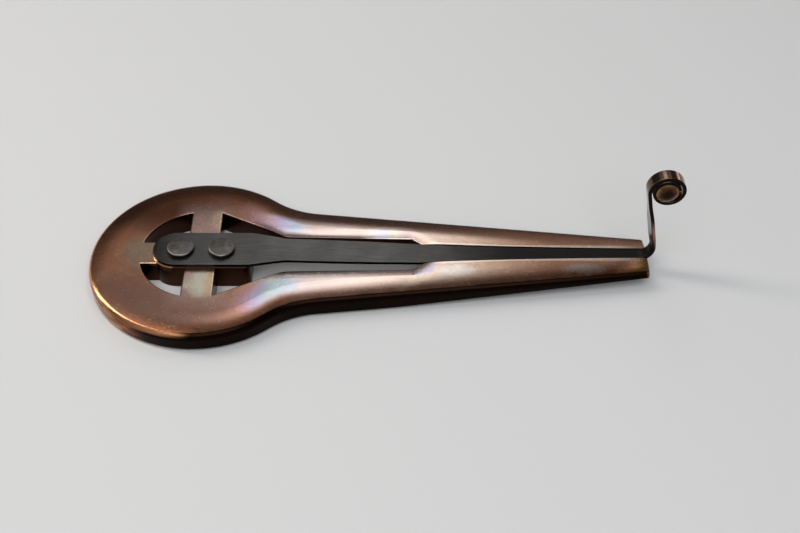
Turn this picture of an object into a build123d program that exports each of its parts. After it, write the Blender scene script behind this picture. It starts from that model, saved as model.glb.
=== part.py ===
from build123d import *
import math
import os

# Jaw harp: a forged steel frame with a spring tongue riveted across its ring.
# The ring's centre on the underside is the origin, the tines run along +X, +Z is up,
# and the tongue's trigger rises at the far end of the tines. All sizes are millimetres.

os.makedirs("parts", exist_ok=True)

# ---------------------------------------------------------------- driving sizes
# Frame: ring
ring_radius = 20.8  # outside of the ring
ring_setback = 0.3  # the outside round sits this far behind the hole's centre
hole_radius = 11.5  # round part of the ring's hole
frame_thickness = 4.5  # underside to the flat of the top
crown_width = 4.8  # how far the domed border reaches in from the outer wall
crown_drop = 0.9  # how far the border falls by the outer wall
rim_radius = 1.3  # rounding between the domed border and the wall
underside_bevel = 0.65  # along the bottom of the outer wall

# Frame: tines
tip_x = 83.9  # ends of the tines, from the ring's centre
root_half_width = 14.75  # outer edges of the tines, carried back to X = 0
tip_half_width = 5.05  # outer edges of the tines at their ends
neck_radius = 16.0  # hollow blend from the ring into each tine
tip_thickness = 2.3  # height of each tine at its end
tip_edge_radius = 0.3  # easing all round each end
undercut_x = 36.0  # where the underside starts to rise to the tips
undercut_blend = 60.0  # radius of that start

# Frame: hole and slot
taper_x = 15.4  # where the straight sides of the hole reach the wide slot
wide_slot_half_start = 4.6  # wide slot at the ring's end
wide_slot_half_end = 4.1  # wide slot at the step
wide_slot_end_x = 39.4  # step from the wide slot to the narrow one
step_length = 1.9  # length of the sloping step
taper_radius = 4.0  # rounding where the hole meets the wide slot
step_radius = 0.5  # rounding of the step's corners
slot_crown_width = 2.3  # how far the tops of the tines roll off towards the wide slot
slot_crown_drop = 0.35  # how far they fall by the slot's edge
slot_crown_spill = 0.6  # how far the cut for it reaches past that edge
slot_crown_turn = 1.0  # rounding of its path where the step begins
lip_radius = 0.3  # rounding of the top edges round the hole and the wide slot

# Frame: cross that carries the tongue
arm_width = 5.8  # arms from the hub to the ring
hub_half_width = 4.45
hub_back_x = -9.2  # round end of the hub
hub_front_x = 9.3  # square end of the hub, towards the tines
hub_corner_radius = 1.2
pad_height = 0.38  # how far the hub stands above the arms
pad_bevel = 0.2

# Tongue
tongue_thickness = 0.7
tongue_half_width = 4.31  # plate under the rivets
tongue_back_x = -9.0
shoulder_x = 9.1  # where the plate starts to narrow
waist_x = 15.7  # where the narrowing ends
waist_half_width = 2.93
reach_x = 28.0  # a station along the free part
reach_half_width = 2.84
throat_half_width = 2.45  # at the mouth of the narrow slot
middle_x = 60.0  # a station along the narrow slot
middle_half_width = 1.62
shoulder_radius = 3.0  # rounding of the plate's corners in plan
stem_half_width = 1.2  # all through the trigger
blade_end_setback = 2.5  # the blade is down to the stem's width this far before the tips
side_clearance = 0.12  # gap from the tongue to the narrow slot, each side
tongue_sink = 0.1  # tongue's top below the tines' top in the narrow slot
tongue_bend_radius = 80.0  # the two gentle bends that carry it down there
dip_setback = 2.0  # from the hub to the middle of the first bend
seam_x = 20.0  # where the blade starts to flex
seam_gap = 0.1

# Trigger: upright stem and rolled end
stem_bend_radius = 2.4  # to the middle of the strip
stem_lean = 15.0  # degrees back from upright
curl_overhang = 0.9  # centre of the roll past the ends of the tines
curl_height = 16.0  # centre of the roll above the tines' top
curl_outer_radius = 3.45
curl_gap = 0.15  # between turns
curl_half_turns = 3

# Pin through the roll
pin_clearance = 0.03
pin_head_overlap = 0.12  # how far each head reaches over the innermost turn
pin_head_height = 0.85
pin_head_edge = 0.15  # straight side of each head

# Rivets, their heads on the tongue and their tails in countersinks below
rivet_spacing = 7.6
rivet_row_y = -0.35  # the pair sits a little off the middle
rivet_head_radius = 2.55
rivet_head_height = 1.05
rivet_flat_radius = 2.1  # flat in the middle of the head's top
rivet_bevel_drop = 0.25  # how far the top falls from there to its edge
rivet_shank_radius = 1.5
rivet_tail_radius = 2.3
rivet_tail_depth = 0.8
rivet_clearance = 0.03

# ---------------------------------------------------------------- derived places
tongue_base_z = frame_thickness + pad_height  # underside of the plate
tongue_top_z = tongue_base_z + tongue_thickness
base_mid_z = tongue_base_z + tongue_thickness / 2
slot_mid_z = frame_thickness - tongue_sink - tongue_thickness / 2
narrow_x = wide_slot_end_x + step_length
lean = math.radians(stem_lean)
hole_corner = (arm_width / 2, math.sqrt(hole_radius**2 - (arm_width / 2) ** 2))
crown_edge_z = frame_thickness - crown_drop
crown_radius = (crown_width**2 + crown_drop**2) / (2 * crown_drop)
slot_crown_radius = (slot_crown_width**2 + slot_crown_drop**2) / (2 * slot_crown_drop)
blade_end_x = tip_x - blade_end_setback
curl_x = tip_x + curl_overhang
curl_z = frame_thickness + curl_height
curl_mid_radius = curl_outer_radius - tongue_thickness / 2
curl_step = (tongue_thickness + curl_gap) / 2  # each half turn is tighter by this much
eye_radius = curl_mid_radius - (curl_half_turns - 1) * curl_step - tongue_thickness / 2
pin_shank_radius = eye_radius - pin_clearance
pin_head_radius = eye_radius + pin_head_overlap
pin_dome_rise = pin_head_height - pin_head_edge
pin_dome_radius = (pin_head_radius**2 + pin_dome_rise**2) / (2 * pin_dome_rise)
rivet_tail_angle = 2 * math.atan((rivet_tail_radius - rivet_shank_radius) / rivet_tail_depth)
rivet_places = (-rivet_spacing / 2, rivet_spacing / 2)
past_tips = 2.0  # how far cutting shapes run past the ends of the tines
outside = 3.0  # how far cutting shapes stand outside what they cut
stock = 1.0  # spare metal round the blank, cut away with the wall
near = 0.01  # tolerance when edges are picked by place


# ---------------------------------------------------------------- frame
def tine_half_width(x):
    """Half width across the outer edges of the tines at a distance x."""
    return root_half_width + (tip_half_width - root_half_width) * x / tip_x


def outer_edge():
    """Outer wall in plan: a ring that flows into two straight tines, open at the tips."""
    end_x = tip_x + past_tips
    slope = (tine_half_width(end_x) - root_half_width) / end_x
    # where the straight edge, carried back, meets the ring
    a = 1 + slope**2
    b = 2 * (slope * root_half_width + ring_setback)
    c = root_half_width**2 + ring_setback**2 - ring_radius**2
    meet_x = (-b + math.sqrt(b * b - 4 * a * c)) / (2 * a)
    meet = (meet_x, tine_half_width(meet_x))
    with BuildLine() as edge:
        Line((end_x, tine_half_width(end_x)), meet)
        ThreePointArc(meet, (-ring_radius - ring_setback, 0), (meet[0], -meet[1]))
        Line((meet[0], -meet[1]), (end_x, -tine_half_width(end_x)))
        corners = edge.vertices().filter_by_position(Axis.X, meet_x - near, meet_x + near)
        fillet(corners, neck_radius)
    return edge.wire()


def hub_outline():
    """Hub in plan: round at the back, nearly square towards the tines."""
    back_x = hub_back_x + hub_half_width
    with BuildSketch() as outline:
        with BuildLine():
            top = Line((hub_front_x, hub_half_width), (back_x, hub_half_width))
            turn = CenterArc((back_x, 0), hub_half_width, 90, 180)
            bottom = Line(turn @ 1, (hub_front_x, -hub_half_width))
            Line(bottom @ 1, top @ 0)
        make_face()
        fillet(outline.vertices().group_by(Axis.X)[-1], hub_corner_radius)
    return outline.sketch


def hole_outline():
    """Hole in plan: round behind the cross, straight into the wide slot, then the narrow slot."""
    end_x = tip_x + past_tips
    throat = throat_half_width + side_clearance
    middle = middle_half_width + side_clearance
    end = stem_half_width + side_clearance
    with BuildSketch() as hole:
        with BuildLine():
            corner_angle = math.degrees(math.atan2(hole_corner[1], hole_corner[0]))
            back = CenterArc((0, 0), hole_radius, 180, corner_angle - 180)
            sides = Polyline(
                back @ 1,
                (taper_x, wide_slot_half_start),
                (wide_slot_end_x, wide_slot_half_end),
                (narrow_x, throat),
            )
            narrow = ThreePointArc(sides @ 1, (middle_x, middle), (blade_end_x, end))
            Polyline(narrow @ 1, (end_x, end), (end_x, 0), back @ 0)
        make_face()
        fillet(hole.vertices().filter_by_position(Axis.X, taper_x - near, taper_x + near), taper_radius)
        step = hole.vertices().filter_by_position(Axis.X, wide_slot_end_x - near, wide_slot_end_x + near)
        fillet(step, step_radius)
        mirror(about=Plane.XZ)
    return hole.sketch


def slot_crown_path():
    """Along one side of the wide slot in plan, and on past the step into the open narrow slot."""
    side_slope = (wide_slot_half_end - wide_slot_half_start) / (wide_slot_end_x - taper_x)
    step_slope = (throat_half_width + side_clearance - wide_slot_half_end) / step_length
    with BuildLine() as path:
        FilletPolyline(
            (hub_front_x, wide_slot_half_start + side_slope * (hub_front_x - taper_x)),
            (wide_slot_end_x, wide_slot_half_end),
            (wide_slot_end_x - wide_slot_half_end / step_slope, 0),
            radius=slot_crown_turn,
        )
    return path.wire()


def along(edge, outline):
    """Whether a top edge of the frame runs along an outline that is drawn in plan."""
    middle = edge @ (1 / 2)
    if middle.Z < crown_edge_z:
        return False
    spot = Vertex(middle.X, middle.Y, 0)
    return min(side.distance_to(spot) for side in outline.edges()) < near


rim_path = outer_edge()
slot_path = slot_crown_path()
hole = hole_outline()
hub = hub_outline()

# what the roll-off towards the slot takes away, on both sides
with BuildPart() as slot_crown:
    with BuildSketch(Plane(origin=slot_path @ 0, x_dir=(0, 1, 0), z_dir=slot_path % 0)):
        full_width = slot_crown_width + slot_crown_spill
        full_drop = slot_crown_radius - math.sqrt(slot_crown_radius**2 - full_width**2)
        with BuildLine():
            dome = RadiusArc(
                (-slot_crown_spill, frame_thickness - full_drop),
                (slot_crown_width, frame_thickness),
                slot_crown_radius,
            )
            Polyline(
                dome @ 1,
                (slot_crown_width, frame_thickness + outside),
                (-slot_crown_spill, frame_thickness + outside),
                dome @ 0,
            )
        make_face()
    sweep(path=slot_path)
    mirror(about=Plane.XZ)

with BuildPart() as frame:
    # blank, a little larger than the finished outline
    with BuildSketch():
        with BuildLine():
            add(rim_path)
            Line(rim_path @ 1, rim_path @ 0)
        make_face()
        offset(amount=stock)
    extrude(amount=frame_thickness)

    # outer wall with its domed border, in one swept cut
    with BuildSketch(Plane(origin=rim_path @ 0, x_dir=(0, -1, 0), z_dir=rim_path % 0)) as border:
        with BuildLine():
            crown = RadiusArc((0, crown_edge_z), (crown_width, frame_thickness), crown_radius)
            Polyline(
                crown @ 1,
                (crown_width, frame_thickness + outside),
                (-outside, frame_thickness + outside),
                (-outside, -outside),
                (0, -outside),
                crown @ 0,
            )
        make_face()
        rim = border.vertices().filter_by_position(Axis.Y, crown_edge_z - near, crown_edge_z + near)
        fillet(rim, rim_radius)
    sweep(path=rim_path, mode=Mode.SUBTRACT)

    # underside rises towards the tips
    with BuildSketch(Plane.XZ) as undercut:
        rise = (frame_thickness - tip_thickness) / (tip_x - undercut_x)
        end_x = tip_x + outside + past_tips
        with BuildLine():
            Polyline(
                (undercut_x, 0),
                (end_x, rise * (end_x - undercut_x)),
                (end_x, -outside),
                (0, -outside),
                (0, 0),
                (undercut_x, 0),
            )
        make_face()
        kink = undercut.vertices().filter_by_position(Axis.X, undercut_x - near, undercut_x + near)
        fillet(kink, undercut_blend)
    extrude(amount=ring_radius + outside, both=True, mode=Mode.SUBTRACT)

    # ends of the tines
    split(bisect_by=Plane.YZ.offset(tip_x), keep=Keep.BOTTOM)

    # bevelled bottom of the outer wall
    tip_underside = frame_thickness - tip_thickness
    low = frame.edges().filter_by(lambda edge: edge.bounding_box().max.Z < tip_underside + near)
    chamfer(low - low.filter_by(Axis.Y), underside_bevel)

    # tops of the tines roll off towards the slot
    add(slot_crown.part, mode=Mode.SUBTRACT)

    # hole and slot, with the cross left standing
    with BuildSketch() as windows:
        add(hole)
        add(hub, mode=Mode.SUBTRACT)
        Rectangle(arm_width, 2 * hole_radius + outside, mode=Mode.SUBTRACT)
        with Locations((hub_back_x, 0)):
            Rectangle(hole_radius, arm_width, mode=Mode.SUBTRACT)
    extrude(amount=frame_thickness, mode=Mode.SUBTRACT)

    # rounded top edges of the hole and the wide slot
    lips = frame.edges().filter_by(lambda edge: along(edge, windows.sketch) and not along(edge, hub))
    lips = lips.filter_by(lambda edge: (edge @ (1 / 2)).X < narrow_x)
    fillet(lips, lip_radius)

    # eased ends of the tines
    fillet(frame.edges().group_by(Axis.X)[-1], tip_edge_radius)

    # raised pad of the hub
    with BuildSketch(Plane.XY.offset(frame_thickness)):
        add(hub)
    extrude(amount=pad_height)
    chamfer(frame.faces().sort_by(Axis.Z)[-1].edges(), pad_bevel)

    # rivet holes, countersunk from below
    for x in rivet_places:
        with Locations(Plane(origin=(x, rivet_row_y, 0), z_dir=(0, 0, -1))):
            CounterSinkHole(
                rivet_shank_radius + rivet_clearance,
                rivet_tail_radius + rivet_clearance,
                counter_sink_angle=math.degrees(rivet_tail_angle),
            )
frame.part.label = "frame"
export_step(frame.part, "parts/frame.step")


# ---------------------------------------------------------------- tongue
def strip_path():
    """Middle of the tongue's thickness, seen from the side: plate, dip, blade, stem and roll."""
    upward = Vector(-math.sin(lean), math.cos(lean))  # along the stem
    across = Vector(math.cos(lean), math.sin(lean))  # from the stem to the roll's centre
    stem_top = Vector(curl_x, curl_z) - across * curl_mid_radius
    stem_foot = stem_top - upward * ((stem_top.Y - slot_mid_z) / upward.Y)
    with BuildLine() as path:
        FilletPolyline(
            (tongue_back_x, base_mid_z),
            (hub_front_x + dip_setback, base_mid_z),
            (narrow_x, slot_mid_z),
            (stem_foot.X, stem_foot.Y),
            (stem_top.X, stem_top.Y),
            radius=(tongue_bend_radius, tongue_bend_radius, stem_bend_radius),
        )
        # half turns that each lie inside the last
        begin = stem_top
        side = 1
        for turn in range(curl_half_turns):
            radius = (curl_mid_radius - turn * curl_step) * side
            end = begin + across * (2 * radius)
            ThreePointArc(begin, begin + (across + upward) * radius, end)
            begin = end
            side = -side
    return path.wire()


def tongue_outline():
    """Tongue in plan: a round-backed plate that narrows to the blade and then to the stem."""
    end_x = curl_x + curl_outer_radius + outside
    with BuildSketch() as plan:
        with BuildLine():
            back = CenterArc((tongue_back_x + tongue_half_width, 0), tongue_half_width, 180, -90)
            sides = Polyline(back @ 1, (shoulder_x, tongue_half_width), (waist_x, waist_half_width))
            reach = ThreePointArc(sides @ 1, (reach_x, reach_half_width), (narrow_x, throat_half_width))
            blade = ThreePointArc(reach @ 1, (middle_x, middle_half_width), (blade_end_x, stem_half_width))
            Polyline(blade @ 1, (end_x, stem_half_width), (end_x, 0), back @ 0)
        make_face()
        fillet(plan.vertices().filter_by_position(Axis.X, shoulder_x - near, waist_x + near), shoulder_radius)
        mirror(about=Plane.XZ)
    return plan.sketch


with BuildPart() as tongue:
    with BuildSketch(Plane.XZ):
        trace(strip_path(), line_width=tongue_thickness)
    extrude(amount=tongue_half_width + outside, both=True)
    with BuildSketch(Plane.XY.offset(-outside)):
        add(tongue_outline())
    extrude(amount=curl_z + curl_outer_radius + 2 * outside, mode=Mode.INTERSECT)
    for x in rivet_places:
        with Locations((x, rivet_row_y, tongue_top_z)):
            Hole(rivet_shank_radius + rivet_clearance)

with BuildPart() as tongue_base:
    add(tongue.part)
    split(bisect_by=Plane.YZ.offset(seam_x - seam_gap / 2), keep=Keep.BOTTOM)
tongue_base.part.label = "tongue_base"
export_step(tongue_base.part, "parts/tongue_base.step")

with BuildPart() as tongue_blade:
    add(tongue.part)
    split(bisect_by=Plane.YZ.offset(seam_x + seam_gap / 2), keep=Keep.TOP)
tongue_blade.part.label = "tongue_blade"
export_step(tongue_blade.part, "parts/tongue_blade.step")


# ---------------------------------------------------------------- rivets
def rivet(x):
    """A rivet with a low bevelled head on the plate and its tail flush with the underside."""
    head_top = tongue_top_z + rivet_head_height
    with BuildPart() as body:
        with BuildSketch(Plane(origin=(x, rivet_row_y, 0), x_dir=(1, 0, 0), z_dir=(0, -1, 0))):
            with BuildLine():
                Polyline(
                    (0, 0),
                    (rivet_tail_radius, 0),
                    (rivet_shank_radius, rivet_tail_depth),
                    (rivet_shank_radius, tongue_top_z),
                    (rivet_head_radius, tongue_top_z),
                    (rivet_head_radius, head_top - rivet_bevel_drop),
                    (rivet_flat_radius, head_top),
                    (0, head_top),
                    (0, 0),
                )
            make_face()
        revolve(axis=Axis((x, rivet_row_y, 0), (0, 0, 1)))
    return body


rivet_rear = rivet(rivet_places[0])
rivet_rear.part.label = "rivet_rear"
export_step(rivet_rear.part, "parts/rivet_rear.step")

rivet_front = rivet(rivet_places[1])
rivet_front.part.label = "rivet_front"
export_step(rivet_front.part, "parts/rivet_front.step")

# ---------------------------------------------------------------- pin through the roll
with BuildPart() as curl_pin:
    with BuildSketch(Plane.XY.offset(curl_z)):
        with BuildLine():
            pin_sides = Polyline(
                (curl_x, 0),
                (curl_x + pin_shank_radius, 0),
                (curl_x + pin_shank_radius, stem_half_width),
                (curl_x + pin_head_radius, stem_half_width),
                (curl_x + pin_head_radius, stem_half_width + pin_head_edge),
            )
            pin_dome = RadiusArc(pin_sides @ 1, (curl_x, stem_half_width + pin_head_height), -pin_dome_radius)
            Line(pin_dome @ 1, (curl_x, 0))
        make_face()
    revolve(axis=Axis((curl_x, 0, curl_z), (0, 1, 0)))
    mirror(about=Plane.XZ)
curl_pin.part.label = "curl_pin"
export_step(curl_pin.part, "parts/curl_pin.step")
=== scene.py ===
import math

import bmesh
import bpy
from mathutils import Matrix, Quaternion, Vector


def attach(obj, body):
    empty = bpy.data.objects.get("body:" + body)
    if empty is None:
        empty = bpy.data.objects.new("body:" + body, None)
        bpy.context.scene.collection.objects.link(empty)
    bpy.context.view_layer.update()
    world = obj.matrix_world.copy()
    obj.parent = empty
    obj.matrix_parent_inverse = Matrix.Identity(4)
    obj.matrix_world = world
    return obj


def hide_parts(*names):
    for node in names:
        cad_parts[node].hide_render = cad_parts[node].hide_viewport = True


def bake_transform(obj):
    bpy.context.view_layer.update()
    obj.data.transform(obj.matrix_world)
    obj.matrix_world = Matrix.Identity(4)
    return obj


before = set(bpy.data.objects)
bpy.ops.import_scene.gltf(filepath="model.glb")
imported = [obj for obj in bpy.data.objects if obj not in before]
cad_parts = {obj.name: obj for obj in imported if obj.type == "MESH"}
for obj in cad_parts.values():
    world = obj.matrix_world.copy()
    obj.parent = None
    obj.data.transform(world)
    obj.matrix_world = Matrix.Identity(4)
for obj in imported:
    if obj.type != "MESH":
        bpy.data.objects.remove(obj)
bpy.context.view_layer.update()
MM = 0.001

# ------------------------------------------------------------------ sizes, millimetres
FRAME_THICKNESS = 4.5
PAD_HEIGHT = 0.38  # of the raised hub above the frame's top
RING_RADIUS = 20.8
RING_SETBACK = 0.3
TIP_X = 83.9
ROOT_HALF_WIDTH = 14.75  # over both tines, carried back to X = 0
TIP_HALF_WIDTH = 5.05
HUB_FRONT_X = 9.3
SLOT_CLEARANCE = 0.12  # beside the blade in the narrow slot

TONGUE_THICKNESS = 0.7
TONGUE_CORNER = 0.11  # rounding of the strip's long edges
TONGUE_HALF_WIDTH = 4.31
TONGUE_BACK_X = -9.0
TONGUE_SINK = 0.1  # of the blade's top under the frame's top
TONGUE_BEND_RADIUS = 80.0
SHOULDER_X = 9.1
SHOULDER_RADIUS = 3.0
DIP_X = HUB_FRONT_X + 2.0
STEM_HALF_WIDTH = 1.2
STEM_BEND_RADIUS = 2.4
STEM_LEAN = math.radians(12.4)
STEM_TWIST = math.radians(10.0)  # the forged stem turns a little towards the near side
TWIST_Z = (5.5, 17.3)  # where it turns and turns back
TWIST_SHARE = 0.35  # of that height for the turn, and for the turn back

# stations of the blade, as (x, half width)
WAIST = (15.7, 2.93)
REACH = (28.0, 2.84)
THROAT = (41.3, 2.45)
MIDDLE = (60.0, 1.62)
BLADE_END = (TIP_X - 2.5, STEM_HALF_WIDTH)

CURL_X = TIP_X + 0.9
CURL_Z = FRAME_THICKNESS + 16.0
CURL_OUTER_RADIUS = 3.45
CURL_GAP = 0.15
CURL_HALF_TURNS = 3

RIVET_ROW_Y = -0.35
RIVET_XS = {"rivet_rear": -3.8, "rivet_front": 3.8}
RIVET_HEAD_RADIUS = 2.55
RIVET_HEAD_HEIGHT = 1.05
RIVET_HEAD_FOOT = (0.06, 0.07)  # bevel where the head meets the plate
RIVET_EDGE_ROUNDING = 0.32
RIVET_CROWN = 0.16
RIVET_SHANK_RADIUS = 1.5
RIVET_CLEARANCE = 0.03
CUTTER_BELOW, CUTTER_ABOVE = 1, 2  # reach of the holes' cutters from the plate's underside
RIVET_TAIL_RADIUS = 2.3
RIVET_TAIL_DEPTH = 0.8

PLATE_Z = FRAME_THICKNESS + PAD_HEIGHT  # underside of the tongue's plate
PLATE_TOP_Z = PLATE_Z + TONGUE_THICKNESS
PLATE_MID_Z = PLATE_Z + TONGUE_THICKNESS / 2
SLOT_MID_Z = FRAME_THICKNESS - TONGUE_SINK - TONGUE_THICKNESS / 2

# ------------------------------------------------------------------ fineness of the meshes
BEND_STEP = 0.22  # millimetres between points round a bend from the side
RUN_STEP = 0.5  # millimetres between points on a straight run
PLAN_STEP = 0.1  # millimetres between points round a bend in plan
CURL_STEPS = 44  # to a half turn of the roll
BACK_STEPS = 40  # round the plate's back, in its outline
BACK_STATIONS = 30  # round the plate's back, in the mesh
THROAT_STEPS = 30
BLADE_STEPS = 40
CORNER_POINTS = 5  # on each of the strip's long edges
PAST_WAIST = 1.0  # how far the rounded waist is kept beyond its corner
ARC_GAP = 0.3  # clear of it before the arc to the throat takes over
STATION_GAP = 0.2  # clear of the plate's back before the other stations follow
CUTTER_SEGMENTS = 64
RIVET_SEGMENTS = 96
RIVET_TAIL_STEPS = 4
RIVET_EDGE_STEPS = 8
RIVET_CROWN_STEPS = 16

# ------------------------------------------------------------------ camera, light and floor
CAMERA_PLACE = (31.24, -159.80, 157.08)  # millimetres
CAMERA_PITCH, CAMERA_YAW, CAMERA_ROLL = 44.33, -2.14, 1.56  # degrees
CAMERA_LENS, CAMERA_SENSOR = 52.768, 36.0
CAMERA_CLIP_START = 0.005

LAMP_TARGET = (0.030, 0, 0)
DOME_AXIS = (0, -0.80, 0.60)  # towards the brightest part of the dome
DOME_SPAN = (0.10, 0.95)
DOME_STRENGTH = (0.11, 0.42)
DOME_COLOUR = (0.95, 0.97, 1.0, 1)
WARM = (1.0, 0.95, 0.90)
WARMER = (1.0, 0.93, 0.84)
WARMEST = (1.0, 0.88, 0.76)
FLOOR_HALF_SIZE = 3.0
FLOOR_COLOUR = (0.62, 0.63, 0.64, 1)
FLOOR_ROUGHNESS = 0.7


def link(name, data):
    obj = bpy.data.objects.new(name, data)
    bpy.context.scene.collection.objects.link(obj)
    return obj


def camera():
    """The photograph's view, from a fit to the ring, the slot, the tips and the trigger."""
    pitch, yaw, roll = (math.radians(a) for a in (CAMERA_PITCH, CAMERA_YAW, CAMERA_ROLL))
    forward = Vector((0, math.cos(pitch), -math.sin(pitch)))
    right = Vector((1, 0, 0))
    up = right.cross(forward)
    rolled_right = math.cos(roll) * right + math.sin(roll) * up
    rolled_up = -math.sin(roll) * right + math.cos(roll) * up
    turn = Matrix.Rotation(yaw, 3, "Z")
    axes = Matrix((turn @ rolled_right, turn @ rolled_up, turn @ -forward)).transposed()
    data = bpy.data.cameras.new("camera")
    data.lens = CAMERA_LENS
    data.sensor_width = CAMERA_SENSOR
    data.clip_start = CAMERA_CLIP_START
    cam = link("camera", data)
    cam.matrix_world = Matrix.Translation(Vector(CAMERA_PLACE) * MM) @ axes.to_4x4()
    bpy.context.scene.camera = cam


def softbox(name, bearing, height, distance, size, radiance, roll=0.0, colour=(1, 1, 1)):
    """A soft rectangular studio lamp that the camera doesn't see.

    Bearing is from +Y towards +X and height above the floor, both in degrees, round the middle.
    """
    turn, climb = math.radians(bearing), math.radians(height)
    level = math.cos(climb)
    away = Vector((math.sin(turn) * level, math.cos(turn) * level, math.sin(climb)))
    data = bpy.data.lights.new(name, "AREA")
    data.shape = "RECTANGLE"
    data.size, data.size_y = size
    data.energy = radiance * math.pi * size[0] * size[1]
    data.color = colour
    lamp = link(name, data)
    lamp.location = Vector(LAMP_TARGET) + away * distance
    lamp.rotation_mode = "QUATERNION"
    facing = (-away).to_track_quat("-Z", "Y")
    lamp.rotation_quaternion = facing @ Quaternion((0, 0, 1), math.radians(roll))
    lamp.visible_camera = False


def dome():
    """A soft sky, brighter from the front and above."""
    world = bpy.data.worlds.new("studio")
    world.use_nodes = True
    tree = world.node_tree
    background = tree.nodes["Background"]
    coords = tree.nodes.new("ShaderNodeTexCoord")
    facing = tree.nodes.new("ShaderNodeVectorMath")
    facing.operation = "DOT_PRODUCT"
    facing.inputs[1].default_value = DOME_AXIS
    soft = tree.nodes.new("ShaderNodeMapRange")
    soft.interpolation_type = "SMOOTHSTEP"
    soft.inputs["From Min"].default_value, soft.inputs["From Max"].default_value = DOME_SPAN
    soft.inputs["To Min"].default_value, soft.inputs["To Max"].default_value = DOME_STRENGTH
    tree.links.new(coords.outputs["Generated"], facing.inputs[0])
    tree.links.new(facing.outputs["Value"], soft.inputs["Value"])
    tree.links.new(soft.outputs["Result"], background.inputs["Strength"])
    background.inputs["Color"].default_value = DOME_COLOUR
    bpy.context.scene.world = world


def studio():
    """The dome and six soft lamps; the long one at the back is mirrored in the tines."""
    dome()
    bpy.context.scene.view_settings.view_transform = "Standard"
    softbox(
        "lamp_back",
        bearing=-0.5,
        height=54,
        distance=0.5,
        size=(0.115, 0.29),
        radiance=1.95,
        roll=-13,
    )
    softbox(
        "lamp_back_left",
        bearing=-35,
        height=50,
        distance=0.5,
        size=(0.36, 0.26),
        radiance=0.40,
        colour=WARM,
    )
    softbox(
        "lamp_back_right", bearing=18, height=40, distance=0.5, size=(0.18, 0.42), radiance=0.42
    )
    softbox("lamp_top", bearing=180, height=58, distance=0.6, size=(0.50, 0.42), radiance=3.0)
    softbox(
        "lamp_left",
        bearing=-76,
        height=41,
        distance=0.5,
        size=(0.085, 0.70),
        radiance=7.5,
        colour=WARMER,
    )
    softbox(
        "lamp_right",
        bearing=46,
        height=10,
        distance=0.6,
        size=(0.22, 0.12),
        radiance=2.4,
        colour=WARMEST,
    )


def floor():
    """A plain pale floor under the part."""
    mesh = bpy.data.meshes.new("floor")
    half = FLOOR_HALF_SIZE
    corners = [(-half, -half, 0), (half, -half, 0), (half, half, 0), (-half, half, 0)]
    mesh.from_pydata(corners, [], [(0, 1, 2, 3)])
    obj = link("floor", mesh)
    mat = bpy.data.materials.new("floor")
    mat.use_nodes = True
    shader = mat.node_tree.nodes["Principled BSDF"]
    shader.inputs["Base Color"].default_value = FLOOR_COLOUR
    shader.inputs["Roughness"].default_value = FLOOR_ROUGHNESS
    mesh.materials.append(mat)


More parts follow.
